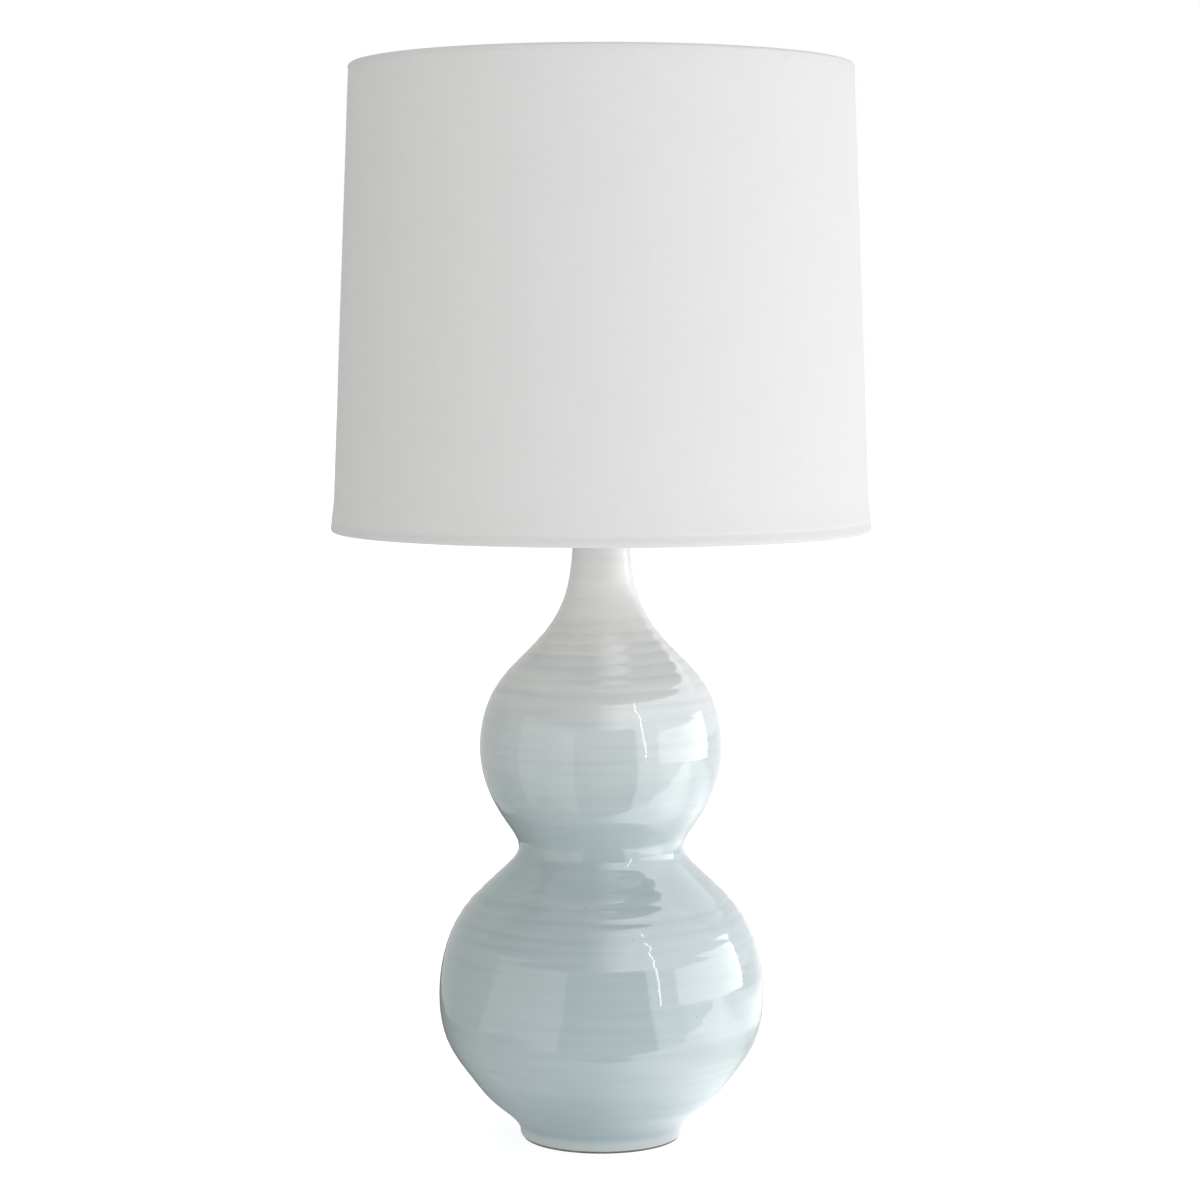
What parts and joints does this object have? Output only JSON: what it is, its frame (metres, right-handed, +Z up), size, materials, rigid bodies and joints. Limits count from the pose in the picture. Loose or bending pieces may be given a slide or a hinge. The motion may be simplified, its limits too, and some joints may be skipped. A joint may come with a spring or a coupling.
{
  "type": "table lamp",
  "caption": "Table lamp with a hollow double gourd ceramic base, a wire harp and a tapered drum shade of linen that lifts off.",
  "frame": {"origin": "centre of the underside of the felt pad, on the surface that the lamp stands on", "axes": "+Z up along the lamp's axis; the switch faces -Y, the cord's hole faces +Y, and the harp lies in the XZ plane"},
  "size_m": [0.4062, 0.4062, 0.829],
  "materials": {
    "glaze": "gloss",
    "felt": "matte",
    "rubber": "matte",
    "zinc_steel": "satin",
    "nickel": "polished",
    "brass": "satin",
    "aluminium": "satin",
    "liner_paper": "matte",
    "moulding": "satin",
    "knob_plastic": "gloss",
    "bulb_glass": "matte",
    "black_glass": "gloss",
    "linen": "matte",
    "styrene": "matte"
  },
  "bodies": {
    "base": {"gourd_body": "glaze", "foot_pad": "felt", "cord_grommet": "rubber", "lamp_pipe": "zinc_steel", "base_gasket": "rubber", "base_washer": "zinc_steel", "base_lock_washer": "zinc_steel", "base_nut": "zinc_steel", "neck_gasket": "rubber", "vase_cap": "nickel", "neck_tube": "nickel", "harp_saddle": "nickel", "pipe_lock_nut": "zinc_steel", "socket_cap": "nickel", "socket_set_screw": "zinc_steel", "socket_shell": "nickel", "socket_insulator": "liner_paper", "socket_body": "moulding", "terminal_screws": "brass", "screw_shell": "aluminium", "centre_contact": "brass"},
    "switch": {"switch_spindle": "zinc_steel", "switch_knob": "knob_plastic"},
    "bulb": {"bulb_glass": "bulb_glass", "bulb_base": "aluminium", "bulb_insulator": "black_glass", "bulb_contact": "brass"},
    "harp": {"harp": "nickel"},
    "left_ferrule": {"ferrule_left": "nickel"},
    "right_ferrule": {"ferrule_right": "nickel"},
    "swivel": {"harp_stud": "nickel"},
    "shade": {"shade_fabric": "linen", "shade_lining": "styrene", "shade_top_ring": "zinc_steel", "shade_bottom_ring": "zinc_steel", "spider_hub": "nickel", "spider_arms": "nickel"},
    "finial_body": {"finial": "nickel"}
  },
  "joints": [
    {"name": "switch_turn", "type": "hinge", "parent": "base", "child": "switch", "pos_m": [0, -0.025, 0.548], "axis": [0, -1, 0], "continuous": true},
    {"name": "bulb_lift", "type": "slide", "parent": "base", "child": "bulb", "axis": [0, 0, 1], "range_m": [0, 0.026]},
    {"name": "harp_lift", "type": "slide", "parent": "base", "child": "harp", "axis": [0, 0, 1], "range_m": [0, 0.014]},
    {"name": "left_ferrule_slide", "type": "slide", "parent": "harp", "child": "left_ferrule", "axis": [0, 0, 1], "range_m": [0, 0.013]},
    {"name": "right_ferrule_slide", "type": "slide", "parent": "harp", "child": "right_ferrule", "axis": [0, 0, 1], "range_m": [0, 0.013]},
    {"name": "shade_swivel", "type": "hinge", "parent": "harp", "child": "swivel", "pos_m": [0, 0, 0.79], "axis": [0, 0, 1], "continuous": true},
    {"name": "shade_lift", "type": "slide", "parent": "swivel", "child": "shade", "axis": [0, 0, 1], "range_m": [0, 0.36]},
    {"name": "finial_lift", "type": "slide", "parent": "shade", "child": "finial_body", "axis": [0, 0, 1], "range_m": [0, 0.022]}
  ]
}
